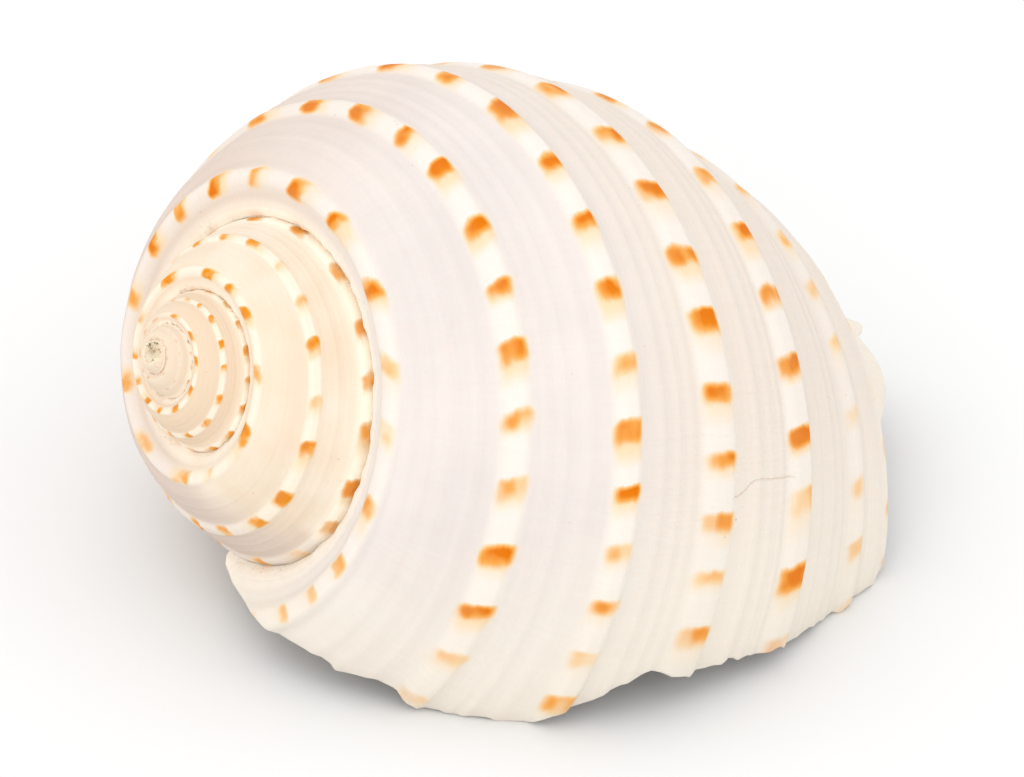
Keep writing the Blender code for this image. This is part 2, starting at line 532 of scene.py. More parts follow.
@dataclass
class Patchwork:
    """Grids of points that are joined into one mesh with UV maps."""

    points: list[Array] = field(default_factory=list)
    maps: dict[Layer, list[Array]] = field(default_factory=lambda: {layer: [] for layer in Layer})
    faces: list[Array] = field(default_factory=list)
    count: int = 0

    def add(self, points: Array, maps: dict[Layer, Array]) -> None:
        """Add one grid of quads.

        Args:
            points: Points as rows, columns and three coordinates.
            maps: UV values of each map, as rows, columns and two, or one pair for the whole grid.
        """
        rows, columns = points.shape[:2]
        index = np.arange(rows * columns).reshape(rows, columns) + self.count
        quads = np.stack([index[:-1, :-1], index[:-1, 1:], index[1:, 1:], index[1:, :-1]], axis=-1)
        self.points.append(points.reshape(-1, 3))
        for layer in Layer:
            self.maps[layer].append(np.broadcast_to(maps[layer], (rows, columns, 2)).reshape(-1, 2))
        self.faces.append(quads.reshape(-1, 4))
        self.count += rows * columns

    def to_object(self, name: str) -> bpy.types.Object:
        """Join the grids into one object, welded along their edges.

        Args:
            name: Name of the new object.

        Returns:
            The object, linked to the scene, smooth shaded, with its faces outward.
        """
        mesh = bpy.data.meshes.new(name)
        faces = np.concatenate(self.faces)
        mesh.from_pydata(np.concatenate(self.points).tolist(), [], faces.tolist())
        corner = np.empty(len(mesh.loops), dtype=np.int64)
        mesh.loops.foreach_get("vertex_index", corner)
        for layer in Layer:
            values = np.concatenate(self.maps[layer])[corner]
            mesh.uv_layers.new(name=layer.value).data.foreach_set("uv", values.ravel().astype(np.float32))
        piece = bpy.data.objects.new(name, mesh)
        bpy.context.scene.collection.objects.link(piece)
        select_only(piece)
        bpy.ops.object.mode_set(mode="EDIT")
        bpy.ops.mesh.select_all(action="SELECT")
        bpy.ops.mesh.remove_doubles(threshold=WELD_REACH)
        bpy.ops.mesh.select_all(action="SELECT")
        bpy.ops.mesh.normals_make_consistent(inside=False)
        bpy.ops.object.mode_set(mode="OBJECT")
        mesh.shade_smooth()
        return piece


def select_only(piece: bpy.types.Object) -> None:
    """Make one object the only selected one, and active.

    Args:
        piece: The object to select.
    """
    bpy.ops.object.select_all(action="DESELECT")
    piece.select_set(True)
    bpy.context.view_layer.objects.active = piece


@dataclass
class ShellSkin:
    """The shell's whole surface, outside and inside, as one closed fine mesh.

    No modelling operator sweeps a line round an axis while it grows, so the grids are worked out
    directly. They are welded, shaded and turned outward with the ordinary operators.

    Attributes:
        coil: The coil that the surface follows.
        relief: What stands out from it.
        rows: The marks of each rib.
        steps: Columns of the grid in one turn.
        spire_turns: Turns that show before the last one.
        hollow_turns: How far the hollow goes back from the lip.
        wall: Thickness of the wall, in shell units.
        coarse: Widest gap between the grid's lines, in shell units.
        rim_rounds: Faces round the lip's edge.
        pit_rings: Rings of faces that close the tip, and the pillar's end.
        pit_depth: How deep the tip's pit goes, in shell units at its angle.
        lap_width: How far from the seam a turn follows the ribs under it.
        pillar_lines: Lines of the grid down the pillar.
        glaze_run: Degrees inside the lip over which the glaze begins.
        smooth_tip: Turns before the last one where the relief begins and where it is full.
        thread_change: Degrees on each side of the last turn's start where the threads grow.
        outer_fade: Columns behind the lip over which the outer wall gets smooth inside.
        inner_fade: Columns over which the wall of the turn before gets smooth.
        waist: How much narrower the pillar's middle is.
        waist_winding: Degrees of winding from which the pillar has its full waist.
        navel_depth: How deep the pillar's end is sunk, in shell units.
        sections: Places across a rib that get a line, from -1 to 1 at its edges.
        line_gap: Least gap between wanted lines, in shell units.
        nicks: Chips and lobes of the lip: where, half how wide, and how many degrees.
    """

    coil: Coil
    relief: Relief
    rows: tuple[MarkRow, ...]
    steps: int = 104
    spire_turns: float = 3.75
    hollow_turns: float = 1.2
    wall: float = 0.028
    coarse: float = 0.040
    rim_rounds: int = 6
    pit_rings: int = 7
    pit_depth: float = 0.90
    lap_width: float = 0.12
    pillar_lines: int = 26
    glaze_run: float = 16.0
    smooth_tip: tuple[float, float] = (1.75, 1.45)
    thread_change: float = 60.0
    outer_fade: float = 14.0
    inner_fade: float = 5.0
    waist: float = 0.16
    waist_winding: float = 120.0
    navel_depth: float = 2.25
    sections: tuple[float, ...] = (-1.1, -0.85, -0.6, -0.35, 0, 0.35, 0.6, 0.8, 1.0)
    line_gap: float = 0.004
    nicks: tuple[tuple[float, float, float], ...] = (
        (0.04, 0.07, 2.2),
        (0.20, 0.20, -1.8),
        (0.34, 0.06, -1.0),
        (0.50, 0.11, -2.8),
        (0.66, 0.06, 0.6),
        (0.78, 0.17, 0.2),
        (0.965, 0.07, -2.2),
        (1.15, 0.17, -3.2),
        (1.42, 0.10, 0.9),
        (1.70, 0.07, -0.8),
        (2.03, 0.14, -0.1),
        (2.33, 0.12, 1.8),
        (3.13, 0.15, 7.0),
        (3.43, 0.20, 2.6),
    )

    @property
    def start(self) -> float:
        """Growth angle at which the last turn begins."""
        return self.coil.seam_lip - TURN

    def lines(self) -> Array:
        """Choose the distances of the grid's lines: fine on ribs and threads, wider between.

        Returns:
            Rising distances along the profile line.
        """
        wanted = [0.0, 0.005, 0.012, 0.030, 0.050, self.coil.partner_at, self.coil.length]
        for rib in self.relief.ribs:
            wanted += [rib.at + rib.half_width * x for x in self.sections]
        for at, half_width, _ in self.relief.threads:
            wanted += [at + half_width * x for x in (-1.0, -0.5, 0.0, 0.5, 1.0)]
        wanted = np.array(sorted(value for value in wanted if 0 <= value <= self.coil.length))
        kept = np.isin(wanted, (0.0, self.coil.partner_at, self.coil.length))
        kept |= np.append(np.inf, np.diff(wanted)) > self.line_gap
        stops = np.unique(wanted[kept])
        found = [stops[:1]]
        for low, high in zip(stops, stops[1:]):
            parts = max(1, round((high - low) / self.coarse))
            found.append(np.linspace(low, high, parts + 1)[1:])
        return np.concatenate(found)

    def lip(self, distance: Array) -> Array:
        """Angle at which the lip ends the last turn, with its nicks and small chips.

        Args:
            distance: Distances along the profile line.

        Returns:
            Growth angles in degrees.
        """
        angle = self.coil.value(distance)[:, 2]
        for at, half_width, change in self.nicks:
            shape = 1 - smooth(0.2, 1.0, np.abs(distance - at) / half_width)
            angle = angle + change * shape * smooth(0.0, 0.05, distance)
        length = self.coil.length
        ends = smooth(0.02, 0.2, distance) * (1 - smooth(length - 0.9, length - 0.5, distance))
        wobble = 0.18 * np.sin(29 * distance) + 0.16 * np.sin(61 * distance + 1)
        return angle + ends * (wobble + 0.12 * np.sin(97 * distance + 2))

    def shown(self, lines: Array) -> Array:
        """Pick the lines that the next turn leaves uncovered."""
        return lines[lines <= self.coil.partner_at + CLOSE_ENOUGH]

    def angles(self, step: Array, distance: Array) -> Array:
        """Growth angles of grid columns: slanted like the lip in the last turn, level before it.

        Args:
            step: Column numbers from the start of the last turn, negative before it.
            distance: Distances along the profile line.

        Returns:
            Growth angles in degrees, as columns by distances.
        """
        share = np.clip(step, 0, None)[:, None] / self.steps
        level = self.start + np.clip(step, None, 0)[:, None] * TURN / self.steps
        return level + share * (self.lip(distance) - self.start)[None, :]

    def surface(
        self, angle: Array, distance: Array, inward: Array | float = 0.0, relief: Array | float = 1.0
    ) -> Array:
        """Points on the coil, moved off it along its own normal.

        Args:
            angle: Growth angles in degrees, as columns by distances.
            distance: Distances along the profile line.
            inward: How far to move in, in shell units.
            relief: How much of the relief to add.

        Returns:
            Points as columns, distances and three coordinates.
        """
        values, out = self.coil.value(distance), self.coil.outward(distance)
        move = relief * self.raised(angle, distance) - inward
        partner = np.array([self.coil.partner_at])
        lap = relief * self.raised(angle - TURN, partner) / self.coil.growth
        lap_out = self.coil.outward(partner)[0]
        join = self.coil.value(partner)[0] / self.coil.growth - self.coil.value(np.zeros(1))[0]
        near = 1 - smooth(0.0, self.lap_width, distance)
        radius = values[:, 0] + move * out[:, 0] + near * (lap * lap_out[0] + join[0])
        depth = values[:, 1] + move * out[:, 1] + near * (lap * lap_out[1] + join[1])
        return self.coil.place(angle, radius, depth)

    def raised(self, angle: Array, distance: Array) -> Array:
        """Height of everything that stands out from the smooth coil.

        Args:
            angle: Growth angles in degrees, as columns by distances.
            distance: Distances along the profile line.

        Returns:
            Heights in shell units, as columns by distances.
        """
        partner, wide, narrow = self.coil.partner_at, 0.06, 0.02
        beyond = np.where(distance > partner, wide, narrow)
        ends = smooth(0.0, wide, distance) * smooth(0.0, 1.0, np.abs(distance - partner) / beyond)
        young = smooth(*(self.start - turns * TURN for turns in self.smooth_tip), angle)
        change = self.thread_change
        threaded = 0.5 + 0.5 * smooth(self.start - change, self.start + change, angle)
        height = self.relief.height(distance) + threaded * self.relief.thread_height(distance)
        height = height + self.relief.covered(angle, distance, self.start)
        height = young * (height + self.relief.seam_edge(angle, distance))
        return height + ends * self.relief.growth(angle, distance)

    def maps(self, angle: Array, distance: Array, glaze: Array | float = 0.0) -> dict[Layer, Array]:
        """UV values of every map on part of the coil.

        Args:
            angle: Growth angles in degrees, as columns by distances.
            distance: Distances along the profile line.
            glaze: 0 outside and 1 on the smooth inside.

        Returns:
            UV values as columns, distances and two, for each map.
        """
        lip = self.coil.value(distance)[:, 2]
        ribs = self.relief.ribs
        middles, widths = np.array([rib.at for rib in ribs]), np.array([rib.half_width for rib in ribs])
        edges = np.abs(distance[:, None] - middles) - widths
        nearest = edges.argmin(axis=1)
        across = np.array(np.broadcast_to((distance - middles[nearest]) / widths[nearest], angle.shape))
        number, look = np.zeros(angle.shape), np.zeros((*angle.shape, 2))
        for index, row in enumerate(self.rows):
            here = nearest == index
            near_lip = row.narrowing * smooth(*row.narrow_zone, angle[:, here])
            across[:, here] *= 1 + 0.9 * near_lip
            lean = row.lean - 2.0 * near_lip
            number[:, here] = row.numbers(angle[:, here] - lean * np.clip(across[:, here], -1.6, 1.6))
            changed = np.stack([1 - 0.55 * near_lip, 1 + 0.1 * near_lip], axis=-1)
            look[:, here] = row.looks(number[:, here], across[:, here]) * changed
            number[:, here] += NUMBERS_PER_ROW * index
        lined = np.broadcast_to(distance, angle.shape)
        return {
            Layer.COIL: np.stack([angle / TURN, lined], axis=-1),
            Layer.MARKS: np.stack([number, np.abs(across)], axis=-1),
            Layer.LOOK: look,
            Layer.ZONE: np.stack([np.broadcast_to(glaze, angle.shape), (angle - lip) / TURN], axis=-1),
            Layer.SIDE: np.stack([np.clip(across, -1.0, 1.0), np.zeros(angle.shape)], axis=-1),
        }

    def plain(self, turn: float, distance: float, glaze: float, age: float) -> dict[Layer, Array]:
        """UV values for a patch without marks.

        Args:
            turn: Place along the coil, in turns.
            distance: Distance along the profile line.
            glaze: 0 outside and 1 on the smooth inside.
            age: Turns behind the lip, below 0.

        Returns:
            One pair of UV values for each map.
        """
        between_marks, far_off_rib, no_power, short = 0.6, 9.0, 0.0, 0.2
        pairs = {
            Layer.COIL: (turn, distance),
            Layer.MARKS: (between_marks, far_off_rib),
            Layer.LOOK: (no_power, short),
            Layer.ZONE: (glaze, age),
            Layer.SIDE: (0.0, 0.0),
        }
        return {layer: np.array([[pair]]) for layer, pair in pairs.items()}

    def add_outside(self, work: Patchwork, lines: Array) -> None:
        """Add the outside: the spire's turns and the last turn.

        Args:
            work: The grids so far.
            lines: Distances of the grid's lines.
        """
        shown = self.shown(lines)
        spire = np.arange(-round(self.spire_turns * self.steps), 1)
        for step, line in ((spire, shown), (np.arange(0, self.steps + 1), lines)):
            angle = self.angles(step, line)
            work.add(self.surface(angle, line), self.maps(angle, line))

    def add_tip(self, work: Patchwork, lines: Array) -> None:
        """Add the small broken pit that closes the first turn.

        Args:
            work: The grids so far.
            lines: Distances of the grid's lines.
        """
        shown = self.shown(lines)
        first = -round(self.spire_turns * self.steps)
        turn = self.angles(np.arange(first, first + self.steps + 1), shown[:1])
        seam = self.surface(turn, shown[:1])[:, 0]
        column = self.surface(self.angles(np.array([first]), shown), shown)[0]
        loop = np.concatenate([seam, column[::-1][1:-1], seam[:1]])
        angle = np.full(1, self.start - self.spire_turns * TURN)
        centre = self.coil.place(angle, np.zeros(1), np.full(1, self.pit_depth))[0]
        look = self.plain(turn=angle[0] / TURN, distance=0.3, glaze=0.0, age=-9.0)
        work.add(funnel(loop, centre, self.pit_rings), look)

    def add_lip(self, work: Patchwork, lines: Array) -> None:
        """Add the lip's rounded edge.

        Args:
            work: The grids so far.
            lines: Distances of the grid's lines.
        """
        grid, angle, rounds = self.rim(lines)
        level = np.broadcast_to(angle[:1], angle.shape)
        work.add(grid, self.maps(level, lines, (rounds / math.pi)[:, None]))
        corner = np.concatenate([grid[:, 0], grid[:1, 0]])
        centre = np.broadcast_to(corner[:-1].mean(axis=0), corner.shape)
        look = self.plain(turn=self.coil.seam_lip / TURN, distance=0.3, glaze=0.0, age=-0.02)
        work.add(np.array([corner, centre]), look)

    def rim(self, lines: Array) -> tuple[Array, Array, Array]:
        """Work out the rounded edge from the outside to the inside of the lip.

        Args:
            lines: Distances of the grid's lines.

        Returns:
            Points, growth angles in degrees, and the angles of the rounding in radians.
        """
        smallest_radius = 0.3
        radius = np.maximum(self.coil.value(lines)[:, 0], smallest_radius)
        rounds = np.linspace(0.0, math.pi, self.rim_rounds + 1)
        inward = 0.5 * self.wall * (1 - np.cos(rounds))[:, None] * np.ones(len(lines))
        angle = self.lip(lines) + np.degrees(0.5 * self.wall * np.sin(rounds)[:, None] / radius)
        return self.surface(angle, lines, inward=inward), angle, rounds

    def add_inside(self, work: Patchwork, lines: Array) -> None:
        """Add the hollow: outer wall, the wall of the turn before, pillar, seam corner and end.

        Args:
            work: The grids so far.
            lines: Distances of the grid's lines.
        """
        back = np.arange(0, round(self.hollow_turns * self.steps) + 1)
        outer_angle = self.angles(self.steps - back, lines)
        fade = np.exp(-back / self.outer_fade)[:, None]
        outer = self.surface(outer_angle, lines, inward=self.wall, relief=fade)
        work.add(outer, self.maps(outer_angle, lines, 1.0))
        behind = lines[lines > self.coil.partner_at + CLOSE_ENOUGH]
        inner_angle = self.angles(-back, behind)
        inner = self.surface(inner_angle, behind, relief=np.exp(-back / self.inner_fade)[:, None])
        glaze = smooth(0.0, 1.0, back * TURN / self.steps / self.glaze_run)[:, None]
        work.add(inner, self.maps(inner_angle, behind, glaze))
        full = self.plain(turn=-1.0, distance=1.0, glaze=1.0, age=-1.0)
        work.add(np.stack([inner[:, 0], outer[:, 0]], axis=1), full)
        pillar = self.pillar(outer[:, -1], inner[:, -1], outer_angle[:, -1], inner_angle[:, -1])
        work.add(pillar, full)
        start = self.surface(self.angles(np.array([self.steps]), lines[:1]), lines[:1])[0, 0]
        work.add(np.array([[start, inner[0, 0]], [outer[0, 0], outer[0, 0]]]), full)
        loop = np.concatenate([outer[-1], pillar[-1, 1:], inner[-1][::-1][1:], outer[-1][:1]])
        work.add(np.array([loop, np.broadcast_to(loop[:-1].mean(axis=0), loop.shape)]), full)
        self.add_navel(work, pillar[0], lines)

    def pillar(self, top: Array, bottom: Array, top_angle: Array, bottom_angle: Array) -> Array:
        """Lines down the pillar, each winding round the axis on the way.

        Args:
            top: Points at the outer wall's end, one for each ring of the hollow.
            bottom: Points at the end of the turn before, likewise.
            top_angle: Growth angles of the top points.
            bottom_angle: Growth angles of the bottom points.

        Returns:
            Points as rings, lines and three coordinates.
        """
        turn, tip = self.coil.laid, np.array(self.coil.tip_at)
        high, low = (top - tip) @ turn, (bottom - tip) @ turn
        share = np.linspace(0.0, 1.0, self.pillar_lines)[None, :]
        winding = (bottom_angle + TURN - top_angle)[:, None]
        angle = np.radians(top_angle[:, None] + winding * share)
        wound = np.clip(winding / self.waist_winding, 0, 1)
        waist = 1 - self.waist * np.sin(math.pi * share) * wound
        high_radius = np.hypot(high[:, 0], high[:, 1])[:, None]
        low_radius = np.hypot(low[:, 0], low[:, 1])[:, None]
        radius = (high_radius + (low_radius - high_radius) * share) * waist
        height = high[:, 2:] + (low[:, 2:] - high[:, 2:]) * share
        upright = np.stack([radius * np.cos(angle), -radius * np.sin(angle), height], axis=-1)
        placed = upright @ turn.T + tip
        placed[:, 0], placed[:, -1] = top, bottom
        return placed

    def add_navel(self, work: Patchwork, edge: Array, lines: Array) -> None:
        """Close the pillar's end, inside the canal's spiral edge.

        Args:
            work: The grids so far.
            edge: The pillar's free edge, from the canal's end to the turn before.
            lines: Distances of the grid's lines.
        """
        end = lines[-1:]
        canal = self.surface(self.angles(np.arange(0, self.steps + 1), end), end)[:, 0]
        rim = self.rim(lines)[0][1:, -1]
        loop = np.concatenate([canal, rim[:-1], edge, canal[:1]])
        centre = self.coil.place(np.zeros(1), np.zeros(1), np.full(1, self.navel_depth))[0]
        look = self.plain(turn=-0.6, distance=3.4, glaze=0.5, age=-0.6)
        work.add(funnel(loop, centre, self.pit_rings), look)

    def build(self) -> bpy.types.Object:
        """Make the skin and tie it to the frame.

        Returns:
            The finished object.
        """
        work, lines = Patchwork(), self.lines()
        self.add_outside(work, lines)
        self.add_tip(work, lines)
        self.add_lip(work, lines)
        self.add_inside(work, lines)
        piece = work.to_object(Piece.SKIN.value)
        lowest = min(vertex.co.z for vertex in piece.data.vertices) / MILLIMETRE
        LOG.info("skin: %d faces, lowest %.2f mm", len(piece.data.polygons), lowest)
        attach(piece, "root")
        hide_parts("shell")
        return piece


def new_group(name: str, inputs: tuple[str, ...], outputs: tuple[str, ...]) -> bpy.types.NodeTree:
    """Make an empty shader node group whose sockets are all numbers.

    Args:
        name: Name of the group.
        inputs: Names of its inputs.
        outputs: Names of its outputs.

    Returns:
        The group.
    """
    group = bpy.data.node_groups.new(name, "ShaderNodeTree")
    for in_out, names in (("INPUT", inputs), ("OUTPUT", outputs)):
        for socket in names:
            group.interface.new_socket(socket, in_out=in_out, socket_type="NodeSocketFloat")
    return group


def new_material(name: str) -> tuple[bpy.types.Material, bpy.types.Node]:
    """Make a material with nodes.

    Args:
        name: Name of the material.

    Returns:
        The material and its shader node.
    """
    material = bpy.data.materials.new(name)
    material.use_nodes = True
    return material, material.node_tree.nodes["Principled BSDF"]


class Nodes:
    """Short ways to add shader nodes to one tree."""

    def __init__(self, tree: bpy.types.NodeTree) -> None:
        """Keep the tree.

        Args:
            tree: The node tree of a material or a group.
        """
        self.tree = tree

    def add(self, kind: str, **settings: object) -> bpy.types.Node:
        """Add one node.

        Args:
            kind: The node's type name.
            settings: Properties to set on it.

        Returns:
            The node.
        """
        node = self.tree.nodes.new(kind)
        for name, value in settings.items():
            setattr(node, name, value)
        return node

    def feed(self, socket: Socket, value: object) -> None:
        """Link a socket to another, or set its value.

        Args:
            socket: The input to fill.
            value: A socket to link, or a plain value.
        """
        if isinstance(value, Socket):
            self.tree.links.new(value, socket)
        else:
            socket.default_value = value

    def math(self, operation: str, *values: object, clamp: bool = False) -> Socket:
        """Add a Math node.

        Args:
            operation: The node's operation.
            values: Its inputs.
            clamp: Whether to keep the result from 0 to 1.

        Returns:
            The result.
        """
        node = self.add("ShaderNodeMath", operation=operation, use_clamp=clamp)
        for socket, value in zip(node.inputs, values):
            self.feed(socket, value)
        return node.outputs[0]

    def plus(self, first: object, second: object) -> Socket:
        """Add two numbers."""
        return self.math("ADD", first, second)

    def minus(self, first: object, second: object) -> Socket:
        """Take the second number from the first."""
        return self.math("SUBTRACT", first, second)

    def times(self, first: object, second: object, clamp: bool = False) -> Socket:
        """Multiply two numbers."""
        return self.math("MULTIPLY", first, second, clamp=clamp)

    def scaled(self, value: object, factor: object, added: object) -> Socket:
        """Multiply a number and add another."""
        return self.math("MULTIPLY_ADD", value, factor, added)

    def insert(self, group: bpy.types.NodeTree, given: dict[str, Socket]) -> bpy.types.Node:
        """Place a node group and fill its inputs.

        Args:
            group: The group.
            given: What each named input gets.

        Returns:
            The group's node.
        """
        node = self.add("ShaderNodeGroup", node_tree=group)
        for name, value in given.items():
            self.feed(node.inputs[name], value)
        return node

    def ease(
        self, value: object, low: object, high: object, start: object = 0.0, end: object = 1.0
    ) -> Socket:
        """Ease between two numbers over a range.

        Args:
            value: The number to read.
            low: Where the ease begins.
            high: Where it ends.
            start: The result at and before low.
            end: The result at and after high.

        Returns:
            The eased number.
        """
        node = self.add("ShaderNodeMapRange", interpolation_type="SMOOTHSTEP")
        names = ("Value", "From Min", "From Max", "To Min", "To Max")
        for name, given in zip(names, (value, low, high, start, end)):
            self.feed(node.inputs[name], given)
        return node.outputs["Result"]

    def mix(self, factor: object, first: object, second: object, blend: str = "MIX") -> Socket:
        """Mix two colours.

        Args:
            factor: Share of the second colour.
            first: Colour at 0.
            second: Colour at 1.
            blend: The mixing mode.

        Returns:
            The mixed colour.
        """
        node = self.add("ShaderNodeMix", data_type="RGBA", blend_type=blend)
        self.feed(node.inputs[0], factor)
        self.feed(node.inputs[6], first)
        self.feed(node.inputs[7], second)
        return node.outputs[2]

    def split(self, layer: Layer) -> tuple[Socket, Socket]:
        """Read a UV map.

        Args:
            layer: Which map.

        Returns:
            Its two values.
        """
        source = self.add("ShaderNodeUVMap", uv_map=layer.value)
        parts = self.add("ShaderNodeSeparateXYZ")
        self.tree.links.new(source.outputs[0], parts.inputs[0])
        return parts.outputs[0], parts.outputs[1]

    def join(self, x: object, y: object, z: object = 0.0) -> Socket:
        """Make a vector of three numbers.

        Args:
            x: First number.
            y: Second number.
            z: Third number.

        Returns:
            The vector.
        """
        node = self.add("ShaderNodeCombineXYZ")
        for socket, value in zip(node.inputs, (x, y, z)):
            self.feed(socket, value)
        return node.outputs[0]

    def noise(self, vector: object, scale: float, detail: float = 2.0, rough: float = 0.5) -> Socket:
        """Add a noise texture.

        Args:
            vector: Where to read it.
            scale: Its scale.
            detail: Its detail.
            rough: Its roughness.

        Returns:
            Its value, around one half.
        """
        node = self.add("ShaderNodeTexNoise")
        self.feed(node.inputs["Vector"], vector)
        node.inputs["Scale"].default_value = scale
        node.inputs["Detail"].default_value = detail
        node.inputs["Roughness"].default_value = rough
        return node.outputs[0]

    def random(self, number: object, seed: float) -> Socket:
        """Give a fixed random number for each whole number.

        Args:
            number: The whole number.
            seed: Picks another list of random numbers.

        Returns:
            A number from 0 to 1.
        """
        node = self.add("ShaderNodeTexWhiteNoise", noise_dimensions="2D")
        self.feed(node.inputs["Vector"], self.join(number, seed))
        return node.outputs["Value"]


def turns_before(turns: float) -> float:
    """Give the place along the coil a number of turns before the last turn began."""
    return Coil.seam_lip / TURN - 1 - turns


@dataclass(frozen=True)
class SkinMaps:
    """What the shell's material reads from its maps and its place, as node outputs.

    Attributes:
        turn: Place along the coil, in turns.
        line: Distance along the profile line.
        number: Mark number with its fraction.
        across: Distance from the rib's middle, 1 at its edge.
        power: Strength of the mark.
        length: Length of the mark as a share of its gap.
        glaze: 0 outside and 1 on the smooth inside.
        age: Turns behind the lip, below 0.
        side: Place across the rib, from -1 to 1.
        place: Object coordinates.
        clouds: Broad noise.
        patches: Finer noise.
        specks: Noise as fine as dirt.
        clumps: Noise that gathers the dirt.
        on_rib: 1 on the ribs and 0 between them.
        spire: 1 on the spire and 0 on the last turn.
        tip: 1 on the smooth first turn, which has no marks.
        below_seam: Distance to the next turn's edge, larger on the last turn, which has none.
        worn: How worn and dirty the shell is, 1 towards the tip.
    """

    turn: Socket
    line: Socket
    number: Socket
    across: Socket
    power: Socket
    length: Socket
    glaze: Socket
    age: Socket
    side: Socket
    place: Socket
    clouds: Socket
    patches: Socket
    specks: Socket
    clumps: Socket
    on_rib: Socket
    spire: Socket
    tip: Socket
    below_seam: Socket
    worn: Socket

    @classmethod
    def read(cls, n: Nodes, partner_at: float) -> SkinMaps:
        """Add the nodes that read the maps.

        Args:
            n: The material's nodes.
            partner_at: Distance of the line on which the next turn sits.

        Returns:
            Their outputs.
        """
        turn, line = n.split(Layer.COIL)
        number, across = n.split(Layer.MARKS)
        power, length = n.split(Layer.LOOK)
        glaze, age = n.split(Layer.ZONE)
        side, _ = n.split(Layer.SIDE)
        place = n.add("ShaderNodeTexCoord").outputs["Object"]
        off = n.math("ABSOLUTE", n.minus(line, partner_at))
        return cls(
            turn=turn,
            line=line,
            number=number,
            across=across,
            power=power,
            length=length,
            glaze=glaze,
            age=age,
            side=side,
            place=place,
            clouds=n.noise(place, 70.0, 3.0, 0.55),
            patches=n.noise(place, 190.0, 4.0, 0.6),
            specks=n.noise(place, 2600.0, 2.0, 0.7),
            clumps=n.noise(place, 300.0, 2.0, 0.6),
            on_rib=n.ease(n.math("ABSOLUTE", across), 0.70, 1.30, 1.0, 0.0),
            spire=n.ease(age, -1.02, -0.93, 1.0, 0.0),
            tip=n.ease(turn, turns_before(1.64), turns_before(1.46), 1.0, 0.0),
            below_seam=n.plus(off, n.ease(age, -1.0, -0.9)),
            worn=n.ease(age, -2.6, -0.8, 1.0, 0.45),
        )


